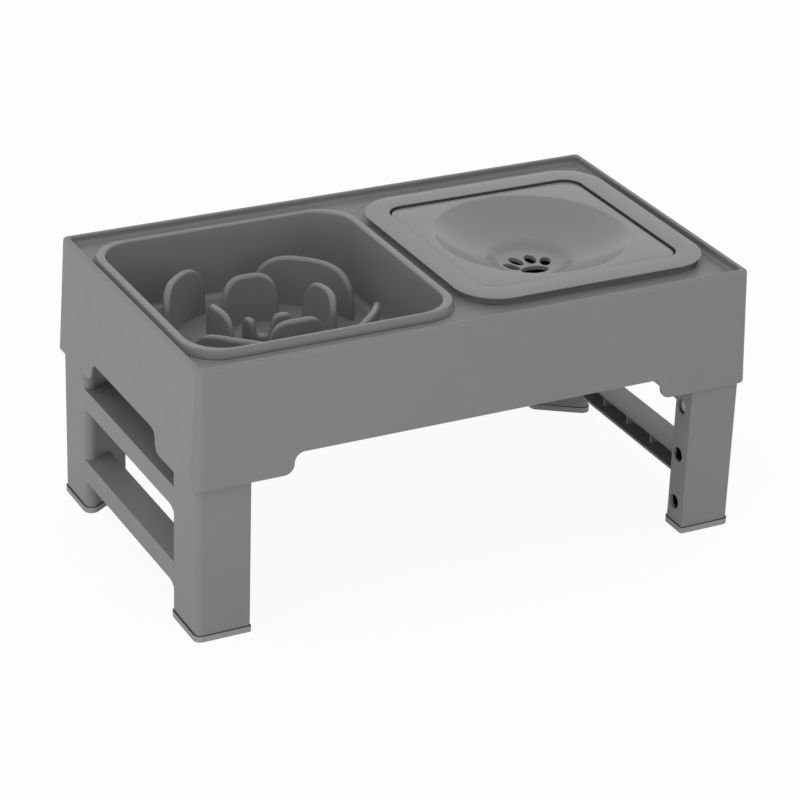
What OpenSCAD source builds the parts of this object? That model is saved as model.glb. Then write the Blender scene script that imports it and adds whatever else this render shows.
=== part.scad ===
// Elevated feeder for dogs: a clip-together stand with a slow feeder bowl and a covered water bowl.
// X runs along the stand, the front faces -Y, Z = 0 is the floor and the origin is at the plan centre.
// It is drawn at its tallest setting, with every button in the top hole of its leg.

/* [Stand top] */
// Length of the stand top along its upper edge
top_l = 421.6; // [420:0.4:430]
// Width of the stand top along its upper edge
top_w = 241.6; // [240:0.4:250]
// Height of the lip above the floor at the tallest setting
stand_h = 202; // [201:1:207]
// Plan radius of the stand top's corners at the upper edge
corner_r = 4; // [3.5:0.5:4.5]
// Outward lean of the skirts in degrees
skirt_draft = 2.6; // [2.6:0.05:2.8]
// Thickness of the skirts
skirt_t = 1.5; // [1.3:0.1:1.5]
// Depth of the skirts at the corners
corner_drop = 86; // [84:1:88]
// Depth of the skirts between the corners
side_drop = 71; // [69:1:75]
// Length of the shallow stretch of the front and back skirts
long_notch = 284; // [270:2:290]
// Length of the shallow stretch of the two end skirts
end_notch = 115; // [105:1:120]
// Depth of the tray floor below the lip
tray_recess = 6; // [5:0.5:6.5]
// Thickness of the tray floor
floor_t = 2.2; // [2:0.1:2.5]
// Width of the raised lip
lip_w = 4.2; // [4:0.1:5]
// Rounding of the lip's outer edge
lip_r = 2.5; // [2:0.5:3]
// Depth of the collar under each cut-out
collar_drop = 8; // [4:1:12]
// Thickness of the collar under each cut-out
collar_t = 1.8; // [1.5:0.1:2]

/* [Legs] */
// Size of a leg along the stand
leg_l = 39.4; // [38.5:0.1:40]
// Size of a leg across the stand, along its outer side
leg_w = 47.4; // [46:0.2:48]
// Size of a leg across the stand, along its inner side
leg_tip = 21.4; // [21:0.1:22.5]
// Wall of a leg
leg_wall = 2.4; // [2.2:0.1:2.5]
// Distance of a leg's outer faces past the stand top's upper edge
leg_out = 0.2; // [-0.4:0.1:0.2]
// Length of a leg inside the skirt at the tallest setting
leg_lap = 2; // [1:0.5:2]
// Diameter of the holes in a leg
hole_d = 11; // [10.5:0.1:11.5]
// Distance from one hole to the next
hole_pitch = 38.5; // [37:0.5:38.5]
// Distance from the corners of the skirts down to the top hole
hole_drop = 19; // [18:0.5:20]
// Distance of the holes from the leg's front face
hole_in = 12.5; // [12:0.1:13]
// Depth of the groove that the button runs in
groove_depth = 1.2; // [1:0.1:1.3]

/* [Crossbars] */
// Depth of the crossbars, from the outer face inward
bar_depth = 21.6; // [20:0.2:22]
// Wall of the crossbars
bar_t = 2; // [1.8:0.1:2.2]
// Underside of the lower crossbar
low_bar_z = 26; // [24:0.5:28]
// Height of the lower crossbar
low_bar_h = 16.5; // [15:0.5:18]
// Underside of the upper crossbar
high_bar_z = 84; // [82:0.5:85]
// Height of the upper crossbar
high_bar_h = 16; // [15:0.5:17]
// Depth of the ribs inside the crossbars
rib_depth = 15.2; // [12:0.2:17]
// Thickness of the ribs
rib_t = 1.6; // [1.4:0.1:2]
// Spacing of the ribs
rib_pitch = 34; // [32:0.5:35]
// Fillet under each crossbar's outer face
bar_fillet = 5; // [4:0.5:6]

/* [Feet] */
// Height of a foot pad
foot_h = 5.5; // [5:0.5:6.5]
// Distance that a foot pad stands out past its leg
foot_out = 0.9; // [0.6:0.1:1.5]
// Height of the groove between a foot pad's rim and its leg
foot_groove = 1.2; // [0.8:0.1:1.4]
// Height of a foot pad's plug inside the leg
plug_h = 6; // [5:0.5:8]
// Wall of a foot pad's plug
plug_t = 2.5; // [2:0.1:3]

/* [Posts and buttons] */
// Length of the posts below the lip
post_drop = 135; // [130:1:140]
// Gap between a post and its leg
post_gap = 0.5; // [0.4:0.1:0.6]
// Wall of a post
post_wall = 2.2; // [2:0.1:2.4]
// Diameter of a button's nose
button_d = 9; // [8.6:0.1:9.4]
// Distance that a button travels
button_travel = 5; // [4:0.5:5.5]
// Height of the dome on a button's nose
dome_h = 1.2; // [0.8:0.1:1.4]
// Diameter of a button's flange
flange_d = 11.2; // [10.6:0.1:11.6]
// Thickness of a button's flange
flange_t = 2; // [1.6:0.1:2.4]
// Diameter of a button's stem
stem_d = 4.6; // [4:0.1:4.8]
// Mean diameter of the spring's coil
coil_d = 7.4; // [7.2:0.1:8]
// Diameter of the spring's wire
wire_d = 0.8; // [0.6:0.1:0.9]
// Length of the spring as fitted
spring_l = 14; // [13:0.5:15]
// Turns of the spring
spring_turns = 6; // [5:1:7]
// Width and height of a spring seat
seat_w = 14; // [13:0.5:14.5]

/* [Slow feeder bowl] */
// Distance between the centres of the two bowls
bowl_pitch = 205; // [204:0.5:207]
// Length of the slow feeder bowl over its rim
slow_l = 201; // [199:1:202]
// Width of the slow feeder bowl over its rim
slow_w = 199; // [197:1:201]
// Outer corner radius of the slow feeder bowl's rim
slow_r = 28; // [26:0.5:30]
// Width of the slow feeder bowl's rim
rim_w = 6; // [5.5:0.1:6.5]
// Depth of both bowls below the lip
bowl_depth = 55.5; // [52:0.5:56]
// Wall of both bowls
bowl_t = 2.3; // [2:0.1:2.5]
// Inward lean of both bowls' walls, from the rim to the floor
bowl_taper = 3.5; // [3:0.1:4]
// Radius between both bowls' walls and floors
bowl_fillet = 6; // [5:0.5:6.5]
// Thickness of the petals
petal_t = 5.4; // [4.6:0.1:5.6]
// Radius of the outer ring of petals
outer_ring_r = 73; // [70:0.5:74]
// Radius of the middle ring of petals
middle_ring_r = 43; // [41:0.5:45]
// Radius of the inner ring of petals
inner_ring_r = 20; // [18:0.5:21]

/* [Water bowl] */
// Size of the water bowl over its square rim
water_l = 197; // [196:0.5:198]
// Outer corner radius of the water bowl's rim
water_r = 28; // [26:0.5:30]
// Size of the opening in the water bowl's rim
mouth_l = 159.6; // [158:0.2:162]
// Corner radius of the opening
mouth_r = 14; // [13.5:0.5:16]
// Overhang of the rim past the edge that stands on the tray
overhang = 2.2; // [1.5:0.1:2.5]
// Width of the ledge that carries the splash cover
ledge_w = 3.4; // [3:0.1:4]

/* [Splash cover] */
// Gap between the splash cover and the opening
cover_gap = 1.3; // [1:0.1:1.5]
// Distance from the water bowl's rim down to the splash cover
cover_sunk = 2.3; // [2:0.1:2.5]
// Thickness of the splash cover
cover_t = 2.4; // [2:0.1:2.6]
// Radius of the dish in the splash cover
dish_r = 71; // [69:0.5:72]
// Depth of the dish
dish_depth = 20.5; // [19:0.5:21]
// Radius of the well in the middle of the dish
well_r = 28; // [26:0.5:29]
// Depth of the well
well_depth = 3; // [2.5:0.25:3.5]

/* [Hidden] */
$fn = 64;
plastic = [0.50, 0.50, 0.50];
bowl_plastic = [0.56, 0.56, 0.56];
rubber = [0.60, 0.60, 0.60];
steel = [0.75, 0.75, 0.77];

// A little extra on cutters, so that no cut ends on a face
cut = 1;
// Gap left under a bowl or cover that rests on a ledge, and round a plug or seat
rest_gap = 0.1;
// Depth that joined pieces of one node run into each other
join = 1;
post_join = 0.2;
petal_join = 0.5;
fillet_sink = 0.3;
// Steps in a quarter of a rounded corner
arc_steps = 6;

// Heights and half sizes of the stand top
lip_in_r = 1;
cove_r = 2.5;
recess_r = 3.5;
tray_z = stand_h - tray_recess;
under_z = tray_z - floor_t;
skirt_z = stand_h - corner_drop;
notch_r = (corner_drop - side_drop) / 2;
skirt_slope = tan(skirt_draft);
top_cx = top_l / 2 - corner_r;
top_cy = top_w / 2 - corner_r;
recess_cx = top_l / 2 - lip_w - recess_r;
recess_cy = top_w / 2 - lip_w - recess_r;

// Legs, in a corner's own frame: x inward from the outer side, y inward from the front face
leg_x = top_l / 2 + leg_out;
leg_y = top_w / 2 + leg_out;
leg_top = skirt_z + leg_lap;
leg_points = [[0, 0], [leg_l, 0], [leg_l, leg_tip], [0, leg_w]];
leg_radii = [corner_r + 0.4, 1.2, 5, 5];
tip_slope = (leg_w - leg_tip) / leg_l;
hole_top_z = skirt_z - hole_drop;

// Posts, buttons, springs and seats, along x in a corner's own frame
post_bottom = stand_h - post_drop;
post_inset = leg_wall + post_gap;
groove_face = leg_l - leg_wall + groove_depth;
nose_back = 0.3;
nose_tip = groove_face - nose_back;
post_inside = leg_l - post_inset - post_wall;
nose_gap = 0.06;
flange_gap = 0.05;
flange_face = post_inside - flange_gap;
seat_face = flange_face - flange_t - spring_l;
spigot_l = 2;
stem_gap = 0.8;
stem_end = seat_face + spigot_l + stem_gap + button_travel;

// Bowls
slow_x = -bowl_pitch / 2;
water_x = bowl_pitch / 2;
slow_cx = slow_l / 2 - slow_r;
slow_cy = slow_w / 2 - slow_r;
bowl_bottom = stand_h - bowl_depth;
bowl_floor = bowl_bottom + bowl_t;
slow_hole_gap = 0.5;
slow_hole = rim_w - bowl_t - slow_hole_gap;
water_c = water_l / 2 - water_r;
water_foot = 2.2;
water_hole_in = 3;
water_hole = overhang + water_hole_in;
ledge_z = stand_h - cover_sunk - cover_t;
pan_l = mouth_l / 2 - ledge_w;
pan_r = mouth_r - ledge_w;

// Petals of the slow feeder: radius of the ring, first angle, last angle, height above the floor
petals = [
    [outer_ring_r, 106, 158, 39.5],
    [outer_ring_r, 12.5, 76.5, 37.5],
    [outer_ring_r, 198, 256, 37.5],
    [outer_ring_r, 288, 346, 37.5],
    [middle_ring_r, 58, 120, 37],
    [middle_ring_r, -27, 34, 36.5],
    [middle_ring_r, 240, 301, 39],
    [middle_ring_r, 161, 210, 38.5],
    [inner_ring_r, 176, 214, 27],
    [inner_ring_r - 1, 208, 245, 17.5],
    [inner_ring_r, 239, 293, 34]];

function unit(v) = v / norm(v);
function normal_of(p, i) =
    let (d = unit(p[(i + 1) % len(p)] - p[i]))
    [-d[1], d[0]];
function turn_of(a, b) = acos(a * b);
function bisector(n1, n2) = (n1 + n2) / (1 + n1 * n2);

least_r = 0.4;

// Points of a convex outline with rounded corners, moved inward by a distance (outward if negative)
function outline(p, radii, inward) = [
    for (i = [0:len(p) - 1])
        let (n1 = normal_of(p, (i + len(p) - 1) % len(p)))
        let (n2 = normal_of(p, i))
        let (r = max(radii[i] - inward, least_r))
        let (c = p[i] + (inward + r) * bisector(n1, n2))
        let (a = atan2(-n1[1], -n1[0]))
        for (k = [0:arc_steps])
            c + r * [cos(a + turn_of(n1, n2) * k / arc_steps), sin(a + turn_of(n1, n2) * k / arc_steps)]];

function leg_outline(inward) = outline(leg_points, leg_radii, inward);

// Points of a circular arc
function arc(cx, cy, r, from, to, steps = arc_steps) =
    [for (k = [0:steps])
        let (a = from + (to - from) * k / steps)
        [cx + r * cos(a), cy + r * sin(a)]];

// Points of a rectangle with rounded corners, centred on the origin
function rounded(hx, hy, r) = concat(
    arc(hx - r, hy - r, r, 0, 90, 2 * arc_steps),
    arc(r - hx, hy - r, r, 90, 180, 2 * arc_steps),
    arc(r - hx, r - hy, r, 180, 270, 2 * arc_steps),
    arc(hx - r, r - hy, r, 270, 360, 2 * arc_steps));

// A rounded rectangle from one height to another
module slab(hx, hy, r, z0, z1) {
    translate([0, 0, z0])
        linear_extrude(z1 - z0)
            polygon(rounded(hx, hy, r));
}

// Sweeps a section round a rectangle whose corners lie at (cx, cy): x of the section points outward
module sweep_round(cx, cy) {
    for (q = [0:3])
        translate([(q == 0 || q == 3) ? cx : -cx, q < 2 ? cy : -cy, 0])
            rotate(90 * q)
                rotate_extrude(angle = 90)
                    children();
    for (half = [0, 180])
        rotate(half) {
            translate([cx, cy, 0])
                rotate([90, 0, 0])
                    linear_extrude(2 * cy)
                        children();
            translate([-cx, cy, 0])
                rotate([90, 0, 90])
                    linear_extrude(2 * cx)
                        children();
        }
}

// Puts a child drawn in the front left corner's own frame into any corner
module in_corner(right, rear) {
    mirror([right, 0, 0])
        mirror([0, rear, 0])
            translate([-leg_x, -leg_y, 0])
                children();
}

// Section of a skirt and the block above it that the tray's recess is cut from
function skirt_section() = concat(
    [[0, under_z], [0, stand_h]],
    arc(corner_r - lip_r, stand_h - lip_r, lip_r, 90, 0),
    [[corner_r + corner_drop * skirt_slope, skirt_z],
     [corner_r + corner_drop * skirt_slope - skirt_t, skirt_z],
     [corner_r + (stand_h - under_z) * skirt_slope - skirt_t, under_z]]);

// Section of the recess, with a cove round its floor and a rounded upper edge
function recess_section() = concat(
    [[0, tray_z]],
    arc(recess_r - cove_r, tray_z + cove_r, cove_r, 270, 360),
    arc(recess_r + lip_in_r, stand_h - lip_in_r, lip_in_r, 180, 90),
    [[recess_r + lip_in_r, stand_h + cut], [0, stand_h + cut]]);

// Outline of the cutter that makes the skirts shallower between the corners
function notch_outline(half) = concat(
    [[-half - notch_r, skirt_z - cut]],
    arc(-half - notch_r, skirt_z + notch_r, notch_r, -90, 0),
    arc(-half + notch_r, skirt_z + notch_r, notch_r, 180, 90),
    arc(half - notch_r, skirt_z + notch_r, notch_r, 90, 0),
    arc(half + notch_r, skirt_z + notch_r, notch_r, 180, 270),
    [[half + notch_r, skirt_z - cut]]);

module skirt_notches() {
    translate([0, top_w, 0])
        rotate([90, 0, 0])
            linear_extrude(2 * top_w)
                polygon(notch_outline(long_notch / 2));
    translate([-top_l, 0, 0])
        rotate([90, 0, 90])
            linear_extrude(2 * top_l)
                polygon(notch_outline(end_notch / 2));
}

// Prisms of the two cut-outs, grown by a margin
module cut_outs(margin, z0, z1) {
    slow_m = margin - slow_hole;
    water_m = margin - water_hole;
    translate([slow_x, 0, 0])
        slab(slow_l / 2 + slow_m, slow_w / 2 + slow_m, slow_r + slow_m, z0, z1);
    translate([water_x, 0, 0])
        slab(water_l / 2 + water_m, water_l / 2 + water_m, water_r + water_m, z0, z1);
}

// A cylinder along x in a corner's own frame, at the height of the button
module button_bore(d, x0, x1) {
    translate([x0, hole_in, hole_top_z])
        rotate([0, 90, 0])
            cylinder(d = d, h = x1 - x0);
}

// Hollow post that slides in a leg, with the stops that hold the spring seat
module post() {
    rail_y = hole_in + seat_w / 2 + rest_gap;
    rail_gap = 2;
    inside = post_inset + post_wall;
    rail_l = seat_face - inside - rail_gap;
    difference() {
        translate([0, 0, post_bottom])
            linear_extrude(under_z + floor_t / 2 - post_bottom)
                polygon(leg_outline(post_inset));
        translate([0, 0, post_bottom - cut])
            linear_extrude(under_z - post_bottom + cut)
                polygon(leg_outline(inside));
        button_bore(button_d + 2 * nose_gap, post_inside - cut, leg_l);
    }
    translate([inside - post_join, rail_y, hole_top_z - seat_w / 2 - rib_t])
        cube([rail_l, rib_t, seat_w + 2 * rib_t]);
    for (z = [hole_top_z - seat_w / 2 - rib_t - rest_gap, hole_top_z + seat_w / 2 + rest_gap])
        translate([inside - post_join, inside - post_join, z])
            cube([rail_l, rail_y - inside + 2 * post_join, rib_t]);
}

module stand_top() {
    color(plastic) {
        difference() {
            union() {
                sweep_round(top_cx, top_cy)
                    polygon(skirt_section());
                translate([-top_cx, -top_cy, under_z])
                    cube([2 * top_cx, 2 * top_cy, stand_h - under_z]);
                cut_outs(collar_t, under_z - collar_drop, under_z + floor_t / 2);
            }
            sweep_round(recess_cx, recess_cy)
                polygon(recess_section());
            translate([-recess_cx, -recess_cy, tray_z])
                cube([2 * recess_cx, 2 * recess_cy, stand_h]);
            skirt_notches();
            cut_outs(0, under_z - collar_drop - cut, stand_h);
        }
        for (right = [0, 1])
            for (rear = [0, 1])
                in_corner(right, rear)
                    post();
    }
}

// Ends of the crossbars, measured along y from the leg's front face
bar_end = leg_tip + (leg_l - bar_depth) * tip_slope - 2 * join;
web_end = 33;

// Fillet round the inner corner of a leg, under a crossbar at a height, in a corner's own frame
module leg_fillet(z) {
    n1 = normal_of(leg_points, 2);
    n2 = normal_of(leg_points, 3);
    r = leg_radii[3];
    centre = leg_points[3] + r * bisector(n1, n2);
    foot_r = r - fillet_sink;
    section = concat([[foot_r - join, join], [foot_r + bar_fillet, join]],
        arc(foot_r + bar_fillet, -bar_fillet, bar_fillet, 90, 180), [[foot_r - join, -bar_fillet]]);
    intersection() {
        translate([centre[0], centre[1], z])
            rotate(atan2(-n1[1], -n1[0])) {
                rotate_extrude(angle = turn_of(n1, n2))
                    polygon(section);
                rotate([90, 0, 0])
                    linear_extrude(leg_l)
                        polygon(section);
            }
        translate([0, 0, z - 2 * bar_fillet])
            cube([bar_depth, 2 * leg_w, 4 * bar_fillet]);
    }
}

// One crossbar: a channel open to the middle of the stand, with ribs
module crossbar(z, h) {
    translate([-leg_x, -leg_y + web_end, z])
        cube([bar_t, 2 * (leg_y - web_end), h]);
    for (dz = [0, h - bar_t])
        translate([-leg_x + bar_t / 2, -leg_y + bar_end, z + dz])
            cube([bar_depth - bar_t / 2, 2 * (leg_y - bar_end), bar_t]);
    for (i = [-2:2])
        translate([-leg_x + bar_t / 2, i * rib_pitch - rib_t / 2, z + bar_t / 2])
            cube([rib_depth - bar_t / 2, rib_t, h - bar_t]);
    for (rear = [0, 1])
        in_corner(0, rear)
            leg_fillet(z);
}

module side_frame() {
    groove_w = hole_d;
    groove_past = 0.5;
    groove_low = hole_top_z - hole_pitch - groove_w / 2 - groove_past;
    difference() {
        union() {
            for (rear = [0, 1])
                in_corner(0, rear)
                    translate([0, 0, foot_h])
                        linear_extrude(leg_top - foot_h)
                            polygon(leg_outline(0));
            crossbar(low_bar_z, low_bar_h);
            crossbar(high_bar_z, high_bar_h);
        }
        for (rear = [0, 1])
            in_corner(0, rear) {
                translate([0, 0, foot_h - cut])
                    linear_extrude(leg_top - foot_h + 2 * cut)
                        polygon(leg_outline(leg_wall));
                for (i = [0:2])
                    translate([0, 0, -i * hole_pitch])
                        button_bore(hole_d, leg_l - leg_wall - cut, leg_l + cut);
                translate([groove_face - groove_depth - cut, hole_in - groove_w / 2, groove_low])
                    cube([groove_depth + cut, groove_w, leg_top - groove_low + cut]);
            }
    }
}

module left_frame() {
    color(plastic) side_frame();
}

module right_frame() {
    color(plastic) mirror([1, 0, 0]) side_frame();
}

module foot() {
    neck_in = 0.6;
    color(rubber) {
        linear_extrude(foot_h - foot_groove)
            polygon(leg_outline(-foot_out));
        translate([0, 0, foot_h - foot_groove])
            linear_extrude(foot_groove)
                polygon(leg_outline(neck_in));
        difference() {
            translate([0, 0, foot_h])
                linear_extrude(plug_h)
                    polygon(leg_outline(leg_wall + rest_gap));
            translate([0, 0, foot_h])
                linear_extrude(plug_h + cut)
                    polygon(leg_outline(leg_wall + rest_gap + plug_t));
        }
    }
}

// Section of a button, radius against distance from the flange's back, turned about the x axis
module button() {
    nose_l = nose_tip - flange_face + flange_t;
    stem_l = stem_end - flange_face + flange_t;
    color(bowl_plastic)
        translate([flange_face - flange_t, hole_in, hole_top_z])
            rotate([0, 90, 0])
                rotate_extrude()
                    polygon(concat(
                        [[0, stem_l], [stem_d / 2, stem_l], [stem_d / 2, 0],
                         [flange_d / 2, 0], [flange_d / 2, flange_t], [button_d / 2, flange_t]],
                        [for (a = [0:10:90]) [button_d / 2 * cos(a), nose_l - dome_h + dome_h * sin(a)]]));
}

// A coil of round wire along x: rings of six points joined into one tube
module coil(r, wire, length, turns) {
    sides = 6;
    rings = 8 * turns;
    span = length - wire;
    points = [for (i = [0:rings]) for (j = [0:sides - 1])
        let (a = 360 * turns * i / rings)
        let (rr = r + wire / 2 * cos(360 * j / sides))
        [wire / 2 + span * i / rings + wire / 2 * sin(360 * j / sides), rr * cos(a), rr * sin(a)]];
    walls = [for (i = [0:rings - 1]) for (j = [0:sides - 1])
        [i * sides + j, (i + 1) * sides + j, (i + 1) * sides + (j + 1) % sides, i * sides + (j + 1) % sides]];
    caps = [[for (j = [0:sides - 1]) j], [for (j = [sides - 1:-1:0]) rings * sides + j]];
    polyhedron(points, concat(walls, caps));
}

module spring() {
    color(steel)
        translate([seat_face, hole_in, hole_top_z])
            coil(coil_d / 2, wire_d, spring_l, spring_turns);
}

// Spring seat: a block that snaps between the post's rail and stops, with a spigot for the spring
module seat() {
    back = post_inset + post_wall;
    side_t = 2;
    color(plastic) {
        difference() {
            intersection() {
                translate([back, hole_in - seat_w / 2, hole_top_z - seat_w / 2])
                    cube([seat_face - back, seat_w, seat_w]);
                translate([0, 0, hole_top_z - seat_w])
                    linear_extrude(2 * seat_w)
                        polygon(leg_outline(back + rest_gap));
            }
            translate([back - cut, hole_in - seat_w / 2 + side_t, hole_top_z - seat_w / 2 + side_t])
                cube([seat_face - back + cut - side_t, seat_w - 2 * side_t, seat_w - 2 * side_t]);
        }
        button_bore(stem_d, seat_face - cut, seat_face + spigot_l);
    }
}

// Section of a bowl's wall and the edge of its floor, below its rim
function bowl_section(wall_r, top_z) = concat(
    [[0, bowl_bottom]],
    arc(wall_r + bowl_t - bowl_taper - bowl_fillet, bowl_bottom + bowl_fillet, bowl_fillet, 270, 360),
    [[wall_r + bowl_t, top_z], [wall_r, top_z]],
    arc(wall_r - bowl_taper - bowl_fillet + 1, bowl_floor + bowl_fillet - 1, bowl_fillet - 1, 360, 270),
    [[0, bowl_floor]]);

// A curved ridge with an arched top: a stretch of a ring cut by an arch
module petal(ring_r, from, to, height) {
    half = (to - from) / 2;
    reach = (ring_r + petal_t / 2) * sin(half);
    foot_z = bowl_floor - petal_join;
    tall = height + petal_join;
    arch = 0.6;
    rotate((from + to) / 2)
        intersection() {
            rotate(-half)
                rotate_extrude(angle = 2 * half)
                    translate([ring_r - petal_t / 2, foot_z])
                        square([petal_t, tall]);
            translate([0, 0, foot_z])
                rotate([90, 0, 90])
                    linear_extrude(ring_r + petal_t)
                        polygon([for (a = [0:10:180])
                            [reach * sign(cos(a)) * pow(abs(cos(a)), arch), tall * pow(sin(a), arch)]]);
        }
}

module slow_feeder_bowl() {
    rim_r = 2.4;
    color(bowl_plastic)
        translate([slow_x, 0, 0]) {
            sweep_round(slow_cx, slow_cy)
                polygon(concat(
                    [[slow_r, tray_z + rest_gap]],
                    arc(slow_r - rim_r, stand_h - rim_r, rim_r, 0, 90),
                    arc(slow_r - rim_w + rim_r, stand_h - rim_r, rim_r, 90, 180),
                    [[slow_r - rim_w, tray_z + rest_gap]]));
            sweep_round(slow_cx, slow_cy)
                polygon(bowl_section(slow_r - rim_w, tray_z + join));
            translate([-slow_cx, -slow_cy, bowl_bottom])
                cube([2 * slow_cx, 2 * slow_cy, bowl_t]);
            for (p = petals)
                petal(p[0], p[1], p[2], p[3]);
        }
}

module water_bowl() {
    half = mouth_l / 2;
    flange_z = stand_h - floor_t;
    foot_x = water_r - overhang;
    edge_r = 1.2;
    edge_in = 0.5;
    color(bowl_plastic)
        translate([water_x, 0, 0]) {
            difference() {
                union() {
                    sweep_round(water_c, water_c)
                        polygon(concat(
                            [[0, flange_z], [foot_x - water_foot, flange_z],
                             [foot_x - water_foot, tray_z + rest_gap], [foot_x, tray_z + rest_gap],
                             [foot_x, flange_z], [water_r, flange_z + edge_in]],
                            arc(water_r - edge_r, stand_h - edge_r, edge_r, 0, 90),
                            [[0, stand_h]]));
                    translate([-water_c, -water_c, flange_z])
                        cube([2 * water_c, 2 * water_c, floor_t]);
                    slab(half + bowl_t, half + bowl_t, mouth_r + bowl_t, ledge_z - bowl_t, flange_z + join);
                }
                slab(half, half, mouth_r, ledge_z, stand_h + cut);
                slab(pan_l, pan_l, pan_r, ledge_z - bowl_t - cut, stand_h);
            }
            sweep_round(pan_l - pan_r, pan_l - pan_r)
                polygon(bowl_section(pan_r, ledge_z - join));
            translate([pan_r - pan_l, pan_r - pan_l, bowl_bottom])
                cube([2 * (pan_l - pan_r), 2 * (pan_l - pan_r), bowl_t]);
        }
}

// Section of the dish: an arc from its edge down to the well, then the well's wall and floor
dish_turn = 25;
dish_slope = atan2(dish_depth, dish_r - well_r);
dish_arc_r = norm([dish_r - well_r, dish_depth]) / 2 / sin(dish_turn / 2);
function dish_line(shift) = [
    for (k = [0:8])
        let (a = dish_slope + dish_turn / 2 - dish_turn * k / 8)
        [dish_r - dish_arc_r * (sin(dish_slope + dish_turn / 2) - sin(a)),
         shift - dish_arc_r * (cos(a) - cos(dish_slope + dish_turn / 2))]];

// Holes of the drain: a pad and four toes, each with its centre, its half sizes and its tilt
paw = [
    [-1, -10, 10.5, 6, -6],
    [-14.2, 0.5, 3.5, 7.2, 24],
    [-6.8, 7.8, 3.9, 7.5, 7],
    [4.8, 7.6, 4, 7.7, -14],
    [13.4, 0.4, 3.9, 7.5, -30]];

module splash_cover() {
    top_z = stand_h - cover_sunk;
    well_z = top_z - dish_depth - well_depth;
    half = mouth_l / 2 - cover_gap;
    r = mouth_r - cover_gap;
    well_lean = 5;
    plate_join = 0.5;
    dish_past = 1;
    color(bowl_plastic)
        translate([water_x, 0, 0])
            difference() {
                union() {
                    slab(half, half, r, ledge_z + rest_gap, top_z);
                    rotate_extrude()
                        polygon(concat(
                            [[0, well_z - cover_t], [well_r + dish_past, well_z - cover_t]],
                            [for (k = [8:-1:0]) dish_line(top_z - cover_t)[k] + [dish_past, 0]],
                            [[dish_r + dish_past, top_z - plate_join], [0, top_z - plate_join]]));
                }
                rotate_extrude()
                    polygon(concat(
                        [[0, well_z], [well_r - well_lean, well_z]],
                        [for (k = [8:-1:0]) dish_line(top_z)[k]],
                        [[dish_r, top_z + cut], [0, top_z + cut]]));
                for (h = paw)
                    translate([h[0], h[1], well_z - cover_t - cut])
                        rotate(h[4])
                            linear_extrude(cover_t + 2 * cut)
                                polygon([for (a = [0:20:340]) [h[2] * cos(a), h[3] * sin(a)]]);
            }
}

stand_top();
left_frame();
right_frame();
in_corner(0, 0) foot();  // front_left_foot
in_corner(0, 1) foot();  // rear_left_foot
in_corner(1, 0) foot();  // front_right_foot
in_corner(1, 1) foot();  // rear_right_foot
in_corner(0, 0) button();  // front_left_button
in_corner(0, 1) button();  // rear_left_button
in_corner(1, 0) button();  // front_right_button
in_corner(1, 1) button();  // rear_right_button
in_corner(0, 0) spring();  // front_left_spring
in_corner(0, 1) spring();  // rear_left_spring
in_corner(1, 0) spring();  // front_right_spring
in_corner(1, 1) spring();  // rear_right_spring
in_corner(0, 0) seat();  // front_left_seat
in_corner(0, 1) seat();  // rear_left_seat
in_corner(1, 0) seat();  // front_right_seat
in_corner(1, 1) seat();  // rear_right_seat
slow_feeder_bowl();
water_bowl();
splash_cover();
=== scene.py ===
"""Looks of the elevated dog feeder: surfaces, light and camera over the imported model."""
import math

import bmesh
import bpy
from mathutils import Matrix, Vector


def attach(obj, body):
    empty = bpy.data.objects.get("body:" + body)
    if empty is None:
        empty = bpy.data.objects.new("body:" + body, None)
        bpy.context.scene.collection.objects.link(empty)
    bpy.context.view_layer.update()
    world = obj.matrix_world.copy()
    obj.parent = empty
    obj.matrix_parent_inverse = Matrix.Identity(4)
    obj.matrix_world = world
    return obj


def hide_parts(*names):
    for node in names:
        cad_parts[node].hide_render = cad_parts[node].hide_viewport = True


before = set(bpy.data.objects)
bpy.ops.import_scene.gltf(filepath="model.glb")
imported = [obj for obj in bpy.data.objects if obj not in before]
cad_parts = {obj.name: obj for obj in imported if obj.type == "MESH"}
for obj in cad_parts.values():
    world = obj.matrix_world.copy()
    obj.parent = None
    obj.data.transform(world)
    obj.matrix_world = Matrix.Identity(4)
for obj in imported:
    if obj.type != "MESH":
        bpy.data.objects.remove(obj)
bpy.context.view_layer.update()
MM = 0.001

# Camera: the point it aims at, its distance, turn and height round that point, its roll and its lens
AIM = Vector((0.8, 0.0, 86.2)) * MM
DISTANCE = 2137.8 * MM
TURN = math.radians(27.85)
HEIGHT = math.radians(26.23)
ROLL = math.radians(2.05)
LENS_MM = 133.2
SENSOR_MM = 36
CLIP_START, CLIP_END = 0.05, 20

# Light: the sky's level, and each lamp's place, aim, size in metres and power in watts
SKY_LEVEL = 0.82
LAMPS = {
    "key": ((-1.7, -1.25, 0.2), (0, 0, 0.1), (0.9, 0.3), 10),
    "fill": ((0.9, -2.0, 0.6), (0, 0, 0.12), (1.2, 0.6), 2),
    "top": ((-0.8, -0.5, 1.6), (0, 0, 0.15), (1.2, 0.9), 3.5)}
NO_REFLECTION = ("top",)
FLOOR_SIZE, FLOOR_DROP, FLOOR_PALE, FLOOR_GLOW = 12, 0.0005, 0.9, 0.93

# Materials: how far the colour clouds to either side, the textures' scales and the grain's depth in metres.
# The painted shade is the dark upward face of a foot pad, shade painted where the pad's rim meets the leg:
# its grey and the upward normals that it fades in between.
CLOUD = 0.035
CLOUD_SCALE, SMUDGE_SCALE, GRAIN_SCALE = 14, 60, 2600
CLOUD_DETAIL, SMUDGE_DETAIL, GRAIN_DETAIL, GRAIN_STRENGTH = 4, 3, 2, 0.5
GRAIN, FINE_GRAIN, RUBBER_GRAIN = 0.00002, 0.00001, 0.00003
GLOSS_SPREAD, EVEN_GLOSS = 0.06, 0.04
RUBBER_GREY, STEEL_COLOUR = 0.255, (0.60, 0.60, 0.62)
# Painted shade on the foot pads: the grey of their upward faces and the upward normals it fades in between
PAINTED_SHADE_GREY, PAINTED_SHADE_FROM, PAINTED_SHADE_TO = 0.06, 0.35, 0.8

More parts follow.
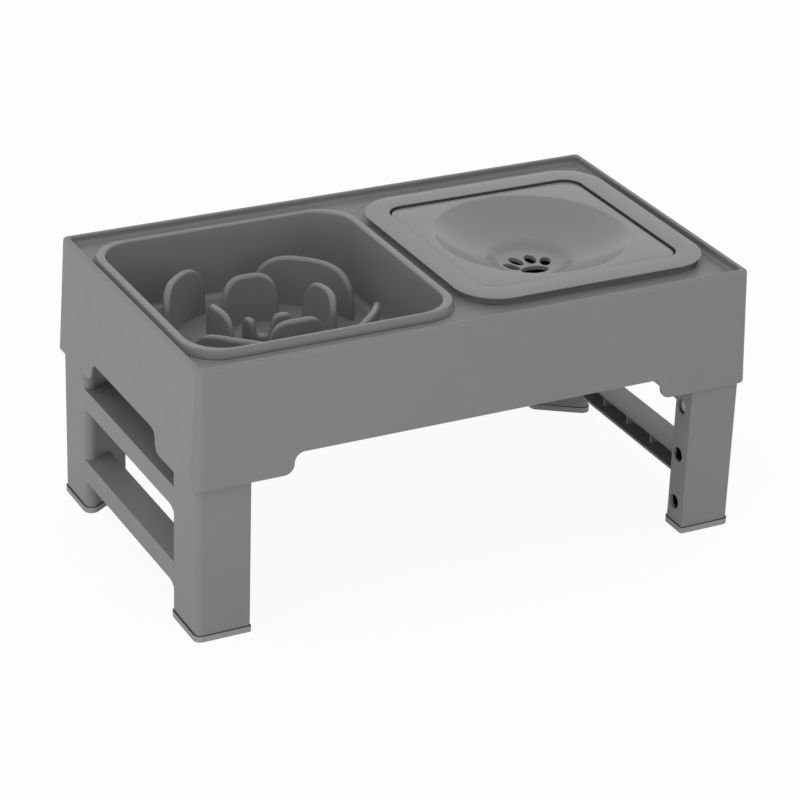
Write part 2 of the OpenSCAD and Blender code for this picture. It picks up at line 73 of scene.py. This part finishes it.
# Sizes from here on are in millimetres. SOFT holds the width of the softened edges of the CAD nodes.
SOFT = {"stand_top": 0.6, "frame": 0.3, "foot": 0.4, "seat": 0.2}
SOFT_SEGMENTS, SOFT_ANGLE, NORMAL_WEIGHT, SHARP_ANGLE = 2, 32, 60, 50
# Heights of the stand and of its tray's floor, the gap under a piece that rests, and a small rounding
STAND_H, TRAY_Z, REST, EDGE = 202, 196, 0.1, 0.35
# Both bowls: underside, wall thickness, lean of the wall, and the fillets outside and inside
BOWL_BOTTOM, BOWL_T, BOWL_TAPER, BOWL_FILLET, INNER_FILLET = 146.5, 2.3, 3.5, 6, 5
BOWL_FLOOR = BOWL_BOTTOM + BOWL_T

# Slow feeder bowl: the outside of its rim and its opening, as length, width and corner radius
SLOW_X = -102.5
SLOW_RIM = (201, 196, 28)
SLOW_MOUTH = (189, 188.4, 27)
# Rounding of the rim, lean of its side, the angle where that side ends, and the wall's place under it
RIM_R, RIM_FLARE, RIM_SIDE, WALL_OFFSET = 1.4, 1.8, 155, 3.7
# Petals: thickness, half of the flat along the crest, depth in the floor, and the power that squares the arch
PETAL_T, PETAL_FLAT, PETAL_SINK, PETAL_ARCH = 5.4, 0.25, 0.5, 0.6
PETAL_ROWS, PETAL_COLUMNS, PETAL_ROUND = 14, 12, 8
# Each petal: radius of the ring, first angle, last angle, height above the floor
PETALS = [
    (73, 106, 158, 39.5),
    (73, 12.5, 76.5, 37.5),
    (73, 198, 256, 37.5),
    (73, 288, 346, 37.5),
    (43, 58, 120, 37),
    (43, -27, 34, 36.5),
    (43, 240, 301, 39),
    (43, 161, 210, 38.5),
    (20, 176, 214, 27),
    (19, 208, 245, 17.5),
    (20, 239, 293, 34)]

# Water bowl: the outside of its rim and its mouth, as length, width and corner radius
WATER_X = 102.5
WATER_RIM = (195.8, 193.4, 31.5)
WATER_MOUTH = (159.8, 157.2, 14)
# Thickness of the rim's plate, width of its foot, overhang past the foot with the direction that its
# undercut ends in, and width of the ledge under the cover
RIM_T, WATER_FOOT, OVERHANG, UNDERCUT, LEDGE_W = 2.2, 2.2, 3, 225, 3.4
RIM_EDGE, MOUTH_EDGE, COVER_EDGE = 0.5, 0.3, 0.6
# The painted gap shade, a dark stretch of the mouth's wall standing in for the gap's shadow round the cover:
# its reach as a share of the mouth, its distance from the wall's ends, and the largest upward normal of its
# faces
GAP_SHADE_REACH, GAP_SHADE_CLEAR, GAP_SHADE_UPRIGHT = 0.51, 0.1, 0.5

# Splash cover: gap round it, depth below the water bowl's rim, thickness
COVER_GAP, COVER_SUNK, COVER_T = 1.3, 1.6, 3.1
COVER_LOW = STAND_H - COVER_SUNK - COVER_T
COVER_STEPS = 144
# The dish and the well in its middle, and the roundings from the well to the dish's edge
DISH_R, DISH_DEPTH, DISH_TURN, DISH_STEPS = 71, 18.7, 25, 16
WELL_R, WELL_DEPTH, WELL_LEAN, WELL_HUB = 31, 5.5, 8, 8
WELL_ROUND, STEP_ROUND, DISH_ROUND = 4, 3, 1
# Steps of such a rounding, and the largest share of a side that it takes up
ROUND_STEPS, ROUND_MOST = 6, 0.95
# The flat that the dish's edge is rounded into, and how far out and how deep the dish's underside starts
DISH_FLAT, UNDER_OUT, UNDER_CLEAR = 12, 1, 0.3
# Drain holes: centre, half sizes and tilt of each, their lip, and how far the cutters pass the surfaces
PAW = [
    (-1, -10, 10.5, 6, -6),
    (-14.2, 0.5, 3.5, 7.2, 24),
    (-6.8, 7.8, 3.9, 7.5, 7),
    (4.8, 7.6, 4, 7.7, -14),
    (13.4, 0.4, 3.9, 7.5, -30)]
PAW_LIP, PAW_LIP_STEPS, PAW_STEPS, CUT_PAST = 0.7, 4, 32, 2
CUT_ABOVE, CUT_WIDER = 0.02, 0.01

# Directions in a section whose first axis points into the opening and whose second points up
INWARD, UP, OUTWARD, DOWN = 0, 90, 180, 270
CORNER_STEPS = 16
# Points nearer than this, in metres, are one point
MERGE = 0.0000005


# Objects and their meshes


def add_object(name, data):
    """An object with that data, in the scene."""
    thing = bpy.data.objects.new(name, data)
    bpy.context.scene.collection.objects.link(thing)
    return thing


def mesh_object(name, points, faces):
    """A smooth object from points in millimetres, with its faces turned outwards."""
    mesh = bpy.data.meshes.new(name)
    mesh.from_pydata([Vector(p) * MM for p in points], [], faces)
    mesh.polygons.foreach_set("use_smooth", [True] * len(mesh.polygons))
    build = bmesh.new()
    build.from_mesh(mesh)
    bmesh.ops.remove_doubles(build, verts=build.verts, dist=MERGE)
    bmesh.ops.recalc_face_normals(build, faces=build.faces)
    build.to_mesh(mesh)
    build.free()
    return add_object(name, mesh)


def new_piece(name, points, faces, material, slot, body):
    """A piece from points in millimetres, riding on a CAD body."""
    piece = mesh_object(name, points, faces)
    piece.data.materials.append(material)
    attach(piece, body)
    return piece


def sharpen(piece):
    """Keeps a hard shading edge where two faces meet at a steep angle."""
    piece.data.set_sharp_from_angle(angle=math.radians(SHARP_ANGLE))


def cut_hole(piece, name, loops):
    """Cuts the skin over those loops out of a piece."""
    cutter = mesh_object(name, *loft(loops))
    hole = piece.modifiers.new(name, "BOOLEAN")
    hole.operation = "DIFFERENCE"
    hole.solver = "EXACT"
    hole.object = cutter
    bpy.context.view_layer.update()
    solid = piece.evaluated_get(bpy.context.evaluated_depsgraph_get())
    cut_mesh = bpy.data.meshes.new_from_object(solid)
    piece.modifiers.clear()
    piece.data = cut_mesh
    bpy.data.objects.remove(cutter)


# Sections and loops


def arc(cx, cy, r, start, end, steps=6):
    """Points of a circular arc in the plane of a section."""
    angles = [math.radians(start + (end - start) * k / steps) for k in range(steps + 1)]
    return [(cx + r * math.cos(a), cy + r * math.sin(a)) for a in angles]


def rounded(cx, hx, hy, r, z):
    """One loop of a rounded rectangle at a height."""
    loop = []
    for q in range(4):
        x = cx + (hx - r) * (1 if q in (0, 3) else -1)
        y = (hy - r) * (1 if q < 2 else -1)
        for k in range(CORNER_STEPS + 1):
            a = math.radians(90 * q + 90 * k / CORNER_STEPS)
            loop.append((x + r * math.cos(a), y + r * math.sin(a), z))
    return loop


def sweep(cx, form, section):
    """Loops of a rounded rectangle (length, width, corner radius), drawn in by each offset of a section."""
    length, width, r = form
    return [rounded(cx, length / 2 - o, width / 2 - o, r - o, z) for o, z in section]


def loft(loops):
    """Skins closed loops of equal length and closes both ends."""
    count = len(loops[0])
    points = [p for loop in loops for p in loop]
    faces = [tuple(range(count))]
    for i in range(len(loops) - 1):
        for j in range(count):
            k = (j + 1) % count
            faces.append((i * count + j, i * count + k, (i + 1) * count + k, (i + 1) * count + j))
    faces.append(tuple(range((len(loops) - 1) * count, len(loops) * count)))
    return points, faces


# Materials


def grey(level):
    return (level, level, level)


def noise(tree, place, scale, detail):
    """The strength of a noise texture at a place."""
    texture = tree.nodes.new("ShaderNodeTexNoise")
    texture.inputs["Scale"].default_value = scale
    texture.inputs["Detail"].default_value = detail
    tree.links.new(place, texture.inputs["Vector"])
    return texture.outputs["Fac"]


def plastic(name, colour, roughness, specular=0.25, grain=GRAIN, grain_scale=GRAIN_SCALE,
        gloss_spread=GLOSS_SPREAD):
    """Moulded plastic: faint cloudiness in the colour, uneven gloss and a fine moulded grain."""
    material = bpy.data.materials.new(name)
    material.use_nodes = True
    tree = material.node_tree
    nodes = tree.nodes
    links = tree.links
    shader = nodes["Principled BSDF"]
    shader.inputs["Specular IOR Level"].default_value = specular
    place = nodes.new("ShaderNodeTexCoord").outputs["Object"]

    tint = nodes.new("ShaderNodeMix")
    tint.data_type = "RGBA"
    tint.inputs["A"].default_value = [c * (1 - CLOUD) for c in colour] + [1]
    tint.inputs["B"].default_value = [c * (1 + CLOUD) for c in colour] + [1]
    links.new(noise(tree, place, CLOUD_SCALE, CLOUD_DETAIL), tint.inputs["Factor"])
    links.new(tint.outputs["Result"], shader.inputs["Base Color"])

    gloss = nodes.new("ShaderNodeMapRange")
    gloss.inputs["To Min"].default_value = roughness - gloss_spread
    gloss.inputs["To Max"].default_value = roughness + gloss_spread
    links.new(noise(tree, place, SMUDGE_SCALE, SMUDGE_DETAIL), gloss.inputs["Value"])
    links.new(gloss.outputs["Result"], shader.inputs["Roughness"])

    bump = nodes.new("ShaderNodeBump")
    bump.inputs["Strength"].default_value = GRAIN_STRENGTH
    bump.inputs["Distance"].default_value = grain
    links.new(noise(tree, place, grain_scale, GRAIN_DETAIL), bump.inputs["Height"])
    links.new(bump.outputs["Normal"], shader.inputs["Normal"])
    return material


def foot_rubber():
    """Grip rubber with painted shade: its upward faces are darkened, standing in for the shade where the
    pad's rim meets the leg.
    """
    material = plastic("foot_rubber", grey(RUBBER_GREY), roughness=0.62, specular=0.2,
        grain=RUBBER_GRAIN, grain_scale=3000)
    nodes = material.node_tree.nodes
    links = material.node_tree.links
    shader = nodes["Principled BSDF"]
    tint = shader.inputs["Base Color"].links[0].from_socket
    # Painted shade: faces that point up blend towards a dark grey
    facing = nodes.new("ShaderNodeNewGeometry")
    parts = nodes.new("ShaderNodeSeparateXYZ")
    links.new(facing.outputs["Normal"], parts.inputs[0])
    upward = nodes.new("ShaderNodeMapRange")
    upward.inputs["From Min"].default_value = PAINTED_SHADE_FROM
    upward.inputs["From Max"].default_value = PAINTED_SHADE_TO
    links.new(parts.outputs["Z"], upward.inputs["Value"])
    painted_shade = nodes.new("ShaderNodeMix")
    painted_shade.data_type = "RGBA"
    painted_shade.inputs["B"].default_value = grey(PAINTED_SHADE_GREY) + (1,)
    links.new(upward.outputs["Result"], painted_shade.inputs["Factor"])
    links.new(tint, painted_shade.inputs["A"])
    links.new(painted_shade.outputs["Result"], shader.inputs["Base Color"])
    return material


def spring_steel():
    """Drawn wire: the plastic's textures under a metallic shader."""
    material = plastic("spring_steel", STEEL_COLOUR, roughness=0.28, specular=0.5,
        grain=FINE_GRAIN, grain_scale=4000)
    material.node_tree.nodes["Principled BSDF"].inputs["Metallic"].default_value = 1
    return material


STAND = plastic("stand_plastic", grey(0.184), roughness=0.4, specular=0.38)
BOWL = plastic("bowl_plastic", grey(0.195), roughness=0.24, specular=0.42,
    grain=FINE_GRAIN, gloss_spread=EVEN_GLOSS)
COVER = plastic("cover_plastic", grey(0.205), roughness=0.2, specular=0.5,
    grain=FINE_GRAIN, gloss_spread=EVEN_GLOSS)
# Painted shade: a dark grey that stands in for the shadow in the gap round the splash cover
PAINTED_GAP_SHADE = plastic("painted_gap_shade", grey(0.05), roughness=0.6, specular=0.2)
BUTTON = plastic("button_plastic", grey(0.34), roughness=0.45)
RUBBER = foot_rubber()
STEEL = spring_steel()


# CAD nodes that keep their shape


def dress(node, material):
    """Gives a CAD node its material."""
    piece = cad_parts[node]
    piece.data.materials.clear()
    piece.data.materials.append(material)
    return piece


def soften(piece, width):
    """Rounds the sharp edges of a CAD node."""
    bevel = piece.modifiers.new("edges", "BEVEL")
    bevel.width = width * MM
    bevel.segments = SOFT_SEGMENTS
    bevel.limit_method = "ANGLE"
    bevel.angle_limit = math.radians(SOFT_ANGLE)
    bevel.miter_outer = "MITER_ARC"
    normals = piece.modifiers.new("normals", "WEIGHTED_NORMAL")
    normals.weight = NORMAL_WEIGHT


def dress_nodes():
    soften(dress("stand_top", STAND), SOFT["stand_top"])
    for side in ("left", "right"):
        soften(dress(side + "_frame", STAND), SOFT["frame"])
    for end in ("front", "rear"):
        for side in ("left", "right"):
            corner = end + "_" + side
            soften(dress(corner + "_foot", RUBBER), SOFT["foot"])
            dress(corner + "_button", BUTTON)
            dress(corner + "_spring", STEEL)
            soften(dress(corner + "_seat", STAND), SOFT["seat"])


# Slow feeder bowl


def slow_bowl_loops():
    """Loops of the bowl from its underside up the wall, round the rim and down to the floor."""
    outer = WALL_OFFSET + BOWL_TAPER + BOWL_FILLET
    outside = arc(outer, BOWL_BOTTOM + BOWL_FILLET, BOWL_FILLET, DOWN, OUTWARD)
    outside += [(WALL_OFFSET, TRAY_Z + REST)]
    outside += arc(EDGE - RIM_FLARE, TRAY_Z + REST + EDGE, EDGE, DOWN, RIM_SIDE, steps=4)
    outside += arc(RIM_R, STAND_H - RIM_R, RIM_R, RIM_SIDE, UP, steps=8)
    inside = arc(-RIM_R, STAND_H - RIM_R, RIM_R, UP, INWARD, steps=8)
    inner = BOWL_TAPER + INNER_FILLET
    inside += arc(inner, BOWL_FLOOR + INNER_FILLET, INNER_FILLET, OUTWARD, DOWN, steps=8)
    return sweep(SLOW_X, SLOW_RIM, outside) + sweep(SLOW_X, SLOW_MOUTH, inside)


def petal_arch(half, tall):
    """Points of a petal's arch from one foot over the crest to the other, and the inward normal at each."""
    last = 2 * PETAL_ROWS
    outline = []
    for i in range(last + 1):
        a = math.pi * i / last
        u = -half * math.copysign(abs(math.cos(a)) ** PETAL_ARCH, math.cos(a))
        outline.append((u, tall * abs(math.sin(a)) ** PETAL_ARCH))
    inward = []
    for i in range(last + 1):
        before, after = outline[max(i - 1, 0)], outline[min(i + 1, last)]
        along = (after[0] - before[0], after[1] - before[1])
        size = math.hypot(*along)
        inward.append((along[1] / size, -along[0] / size))
    return outline, inward


def petal(ring_r, start, end, height):
    """A curved ridge: a rounded edge swept round an arch on a ring, its two faces and its closed foot."""
    middle = math.radians((start + end) / 2)
    half = math.radians((end - start) / 2) * ring_r
    low = BOWL_FLOOR - PETAL_SINK
    outline, inward = petal_arch(half, height + PETAL_SINK)
    last = 2 * PETAL_ROWS
    edge = PETAL_T / 2 - PETAL_FLAT
    points, faces = [], []

    def place(u, z, out):
        a = middle - u / ring_r
        points.append((SLOW_X + (ring_r + out) * math.cos(a), (ring_r + out) * math.sin(a), low + z))
        return len(points) - 1

    edges = []
    for (u, z), (nu, nz) in zip(outline, inward):
        ring = []
        for k in range(PETAL_ROUND + 1):
            t = math.radians(90 - 180 * k / PETAL_ROUND)
            shift = edge * (1 - math.cos(t))
            flat = PETAL_FLAT * ((t > 0) - (t < 0))
            ring.append(place(u + nu * shift, z + nz * shift, flat + edge * math.sin(t)))
        edges.append(ring)
    for one, two in zip(edges, edges[1:]):
        for k in range(PETAL_ROUND):
            faces.append((one[k], two[k], two[k + 1], one[k + 1]))
    feet = []
    for side, out in ((0, PETAL_T / 2), (PETAL_ROUND, -PETAL_T / 2)):
        grid = []
        for i in range(PETAL_ROWS + 1):
            left, right = outline[i], outline[last - i]
            nl, nr = inward[i], inward[last - i]
            a = (left[0] + nl[0] * edge, left[1] + nl[1] * edge)
            b = (right[0] + nr[0] * edge, right[1] + nr[1] * edge)
            row = [edges[i][side]]
            for c in range(1, PETAL_COLUMNS):
                f = c / PETAL_COLUMNS
                row.append(place(a[0] + (b[0] - a[0]) * f, a[1] + (b[1] - a[1]) * f, out))
            row.append(edges[last - i][side])
            grid.append(row)
        for one, two in zip(grid, grid[1:]):
            for c in range(PETAL_COLUMNS):
                faces.append((one[c], one[c + 1], two[c + 1], two[c]))
        feet.append(grid[0])
    faces.append(tuple(feet[0] + edges[last][1:-1] + feet[1][::-1] + edges[0][-2:0:-1]))
    return points, faces


def add_slow_bowl():
    points, faces = loft(slow_bowl_loops())
    for values in PETALS:
        more, walls = petal(*values)
        base = len(points)
        points += more
        faces += [tuple(base + i for i in wall) for wall in walls]
    piece = new_piece("slow_bowl_look", points, faces, BOWL, "bowl_plastic", "slow_bowl")
    sharpen(piece)
    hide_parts("slow_feeder_bowl")


# Water bowl


def water_bowl_loops():
    """Loops of the bowl from its underside up the wall, round the rim, over the ledge and to the floor."""
    plate = STAND_H - RIM_T
    foot = OVERHANG + WATER_FOOT
    outer = LEDGE_W + BOWL_TAPER - BOWL_T + BOWL_FILLET
    wall = arc(outer, BOWL_BOTTOM + BOWL_FILLET, BOWL_FILLET, DOWN, OUTWARD)
    wall += [(LEDGE_W - BOWL_T, COVER_LOW - BOWL_T), (-BOWL_T, COVER_LOW - BOWL_T), (-BOWL_T, plate)]
    rim = [(foot, plate), (foot, TRAY_Z + REST), (OVERHANG, TRAY_Z + REST)]
    rim += [(OVERHANG, STAND_H - RIM_EDGE - OVERHANG)]
    rim += arc(RIM_EDGE, STAND_H - RIM_EDGE, RIM_EDGE, UNDERCUT, UP)
    mouth = arc(-MOUTH_EDGE, STAND_H - MOUTH_EDGE, MOUTH_EDGE, UP, INWARD, steps=5)
    mouth += [(0, COVER_LOW)]
    mouth += arc(LEDGE_W - EDGE, COVER_LOW - EDGE, EDGE, UP, INWARD, steps=3)
    inner = LEDGE_W + BOWL_TAPER + INNER_FILLET
    mouth += arc(inner, BOWL_FLOOR + INNER_FILLET, INNER_FILLET, OUTWARD, DOWN, steps=8)
    loops = sweep(WATER_X, WATER_MOUTH, wall) + sweep(WATER_X, WATER_RIM, rim)
    return loops + sweep(WATER_X, WATER_MOUTH, mouth)


def is_painted_gap_shade(face):
    """Whether a face of the water bowl is on the wall of its mouth, round the cover, where the gap's shadow
    is painted.
    """
    x, y, z = face.center / MM
    length, width, _ = WATER_MOUTH
    in_mouth = max(abs(x - WATER_X) / length, abs(y) / width) < GAP_SHADE_REACH
    beside_cover = COVER_LOW - GAP_SHADE_CLEAR < z < STAND_H - MOUTH_EDGE - GAP_SHADE_CLEAR
    return in_mouth and beside_cover and abs(face.normal.z) < GAP_SHADE_UPRIGHT


def add_water_bowl():
    piece = new_piece("water_bowl_look", *loft(water_bowl_loops()), BOWL, "bowl_plastic", "water_pan")
    # Painted shade: the mouth's wall round the cover takes the dark material of the gap's shadow
    piece.data.materials.append(PAINTED_GAP_SHADE)
    for face in piece.data.polygons:
        if is_painted_gap_shade(face):
            face.material_index = 1
    sharpen(piece)
    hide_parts("water_bowl")


# Splash cover


def polar_rectangle(hx, hy, r, a):
    """Distance from the centre to a rounded rectangle's edge in a direction."""
    x, y = abs(math.cos(a)), abs(math.sin(a))
    if y * hx <= (hy - r) * x:
        return hx / x
    if x * hy <= (hx - r) * y:
        return hy / y
    along = (hx - r) * x + (hy - r) * y
    across = (hx - r) * y - (hy - r) * x
    return along + math.sqrt(r * r - across ** 2)


def dish_section(top):
    """Radius and height of the dish, an arc from its edge down to the well."""
    turn = math.radians(DISH_TURN)
    steep = math.atan2(DISH_DEPTH, DISH_R - WELL_R) + turn / 2
    r = math.hypot(DISH_R - WELL_R, DISH_DEPTH) / 2 / math.sin(turn / 2)
    rows = []
    for k in range(DISH_STEPS + 1):
        a = steep - turn * k / DISH_STEPS
        radius = DISH_R - r * (math.sin(steep) - math.sin(a))
        rows.append((radius, top - r * (math.cos(a) - math.cos(steep))))
    return rows


def blend(rows, corner, reach):
    """Rounds one corner of a section with a quadratic curve that reaches along both of its sides."""
    before, here, after = rows[corner - 1], rows[corner], rows[corner + 1]

    def toward(end):
        size = math.hypot(end[0] - here[0], end[1] - here[1])
        part = min(reach / size, ROUND_MOST)
        return (here[0] + (end[0] - here[0]) * part, here[1] + (end[1] - here[1]) * part)

    a, b = toward(before), toward(after)
    curve = []
    for k in range(ROUND_STEPS + 1):
        t = k / ROUND_STEPS
        curve.append(tuple((1 - t) ** 2 * a[i] + 2 * t * (1 - t) * here[i] + t * t * b[i] for i in (0, 1)))
    return rows[:corner] + curve + rows[corner + 1:]


def cover_loops(top, well):
    """Loops of the cover from under its well out to the edge, up and back into the well."""
    length, width, corner = WATER_MOUTH
    hx, hy, r = length / 2 - COVER_GAP, width / 2 - COVER_GAP, corner - COVER_GAP
    low = COVER_LOW + REST
    dish = dish_section(top)
    inner = [(DISH_R + DISH_FLAT, top)] + dish + [(WELL_R - WELL_LEAN, well), (WELL_HUB, well)]
    inner = blend(inner, len(inner) - 2, WELL_ROUND)
    inner = blend(inner, len(dish), STEP_ROUND)
    inner = blend(inner, 1, DISH_ROUND)
    under = [(x + UNDER_OUT, z - COVER_T) for x, z in dish if z - COVER_T < low - UNDER_CLEAR]
    under += [(WELL_R + UNDER_OUT, well - COVER_T), (WELL_HUB, well - COVER_T)]
    side = arc(EDGE, low + EDGE, EDGE, DOWN, OUTWARD, steps=3)
    side += arc(COVER_EDGE, top - COVER_EDGE, COVER_EDGE, OUTWARD, UP, steps=5)
    directions = [2 * math.pi * k / COVER_STEPS for k in range(COVER_STEPS)]

    def circle(radius, z):
        return [(WATER_X + radius * math.cos(a), radius * math.sin(a), z) for a in directions]

    def rectangle(o, z):
        reach = [polar_rectangle(hx - o, hy - o, r - o, a) for a in directions]
        return [(WATER_X + d * math.cos(a), d * math.sin(a), z) for d, a in zip(reach, directions)]

    loops = [circle(*row) for row in reversed(under)]
    loops += [rectangle(*row) for row in side]
    return loops + [circle(*row) for row in inner[1:]]


def ellipse(x, y, hx, hy, tilt, grow, z):
    """One loop of a tilted ellipse at a height, its middle measured from the cover's."""
    t = math.radians(tilt)
    loop = []
    for k in range(PAW_STEPS):
        a = 2 * math.pi * k / PAW_STEPS
        u, v = (hx + grow) * math.cos(a), (hy + grow) * math.sin(a)
        across = WATER_X + x + u * math.cos(t) - v * math.sin(t)
        loop.append((across, y + u * math.sin(t) + v * math.cos(t), z))
    return loop


def add_cover():
    top = STAND_H - COVER_SUNK
    well = top - DISH_DEPTH - WELL_DEPTH
    piece = new_piece("splash_cover_look", *loft(cover_loops(top, well)), COVER, "cover_plastic", "cover")
    lip = arc(PAW_LIP, well + CUT_ABOVE - PAW_LIP, PAW_LIP, 180, 90, PAW_LIP_STEPS)
    cut = [(0, well - COVER_T - CUT_PAST)] + lip + [(PAW_LIP + CUT_WIDER, well + CUT_PAST)]
    for i, hole in enumerate(PAW):
        cut_hole(piece, "paw_cutter_%d" % i, [ellipse(*hole, grow, z) for grow, z in cut])
    sharpen(piece)
    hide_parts("splash_cover")


# Camera, light and floor


def add_camera():
    level = math.cos(HEIGHT)
    forward = Vector((math.sin(TURN) * level, math.cos(TURN) * level, -math.sin(HEIGHT)))
    level_right = Vector((math.cos(TURN), -math.sin(TURN), 0))
    level_up = level_right.cross(forward)
    right = level_right * math.cos(ROLL) + level_up * math.sin(ROLL)
    up = right.cross(forward)
    data = bpy.data.cameras.new("camera")
    data.sensor_width = SENSOR_MM
    data.lens = LENS_MM
    data.clip_start = CLIP_START
    data.clip_end = CLIP_END
    camera = add_object("camera", data)
    place = Matrix((right, up, -forward)).transposed().to_4x4()
    place.translation = AIM - forward * DISTANCE
    camera.matrix_world = place
    bpy.context.scene.camera = camera


def area_light(name, place, aim, size, power):
    data = bpy.data.lights.new(name, "AREA")
    data.shape = "RECTANGLE"
    data.size, data.size_y = size
    data.energy = power
    lamp = add_object(name, data)
    lamp.location = place
    lamp.rotation_euler = (Vector(aim) - Vector(place)).to_track_quat("-Z", "Y").to_euler()
    return lamp


def mix_shaders(tree, share, one, two, output):
    """Shows the second shader for a share of the rays and the first for the rest."""
    mix = tree.nodes.new("ShaderNodeMixShader")
    tree.links.new(share, mix.inputs[0])
    tree.links.new(one.outputs[0], mix.inputs[1])
    tree.links.new(two.outputs[0], mix.inputs[2])
    out = tree.nodes.new(output)
    tree.links.new(mix.outputs[0], out.inputs["Surface"])


def add_world():
    """A sky at one level, which shows as white to the camera, through clear pieces and in reflections."""
    world = bpy.data.worlds.new("studio")
    bpy.context.scene.world = world
    world.use_nodes = True
    tree = world.node_tree
    nodes = tree.nodes
    nodes.clear()
    rays = nodes.new("ShaderNodeLightPath")
    share = rays.outputs["Is Camera Ray"]
    for kind in ("Is Transmission Ray", "Is Glossy Ray"):
        either = nodes.new("ShaderNodeMath")
        either.operation = "MAXIMUM"
        tree.links.new(share, either.inputs[0])
        tree.links.new(rays.outputs[kind], either.inputs[1])
        share = either.outputs[0]
    sky = []
    for strength in (SKY_LEVEL, 1):
        background = nodes.new("ShaderNodeBackground")
        background.inputs["Color"].default_value = (1, 1, 1, 1)
        background.inputs["Strength"].default_value = strength
        sky.append(background)
    mix_shaders(tree, share, *sky, "ShaderNodeOutputWorld")


def add_floor():
    """A pale matt floor that shows nearly white to the camera and keeps a faint shadow."""
    bpy.ops.mesh.primitive_plane_add(size=FLOOR_SIZE, location=(0, 0, -FLOOR_DROP))
    floor = bpy.context.object
    floor.name = "floor"
    material = bpy.data.materials.new("floor")
    material.use_nodes = True
    tree = material.node_tree
    nodes = tree.nodes
    nodes.clear()
    matt = nodes.new("ShaderNodeBsdfDiffuse")
    matt.inputs["Color"].default_value = grey(FLOOR_PALE) + (1,)
    glow = nodes.new("ShaderNodeEmission")
    rays = nodes.new("ShaderNodeLightPath")
    share = nodes.new("ShaderNodeMath")
    share.operation = "MULTIPLY"
    share.inputs[1].default_value = FLOOR_GLOW
    tree.links.new(rays.outputs["Is Camera Ray"], share.inputs[0])
    mix_shaders(tree, share.outputs[0], matt, glow, "ShaderNodeOutputMaterial")
    floor.data.materials.append(material)


add_camera()
add_world()
add_floor()
for name, values in LAMPS.items():
    area_light(name, *values).visible_glossy = name not in NO_REFLECTION
dress_nodes()
add_slow_bowl()
add_water_bowl()
add_cover()

bpy.context.scene.view_settings.view_transform = "Standard"
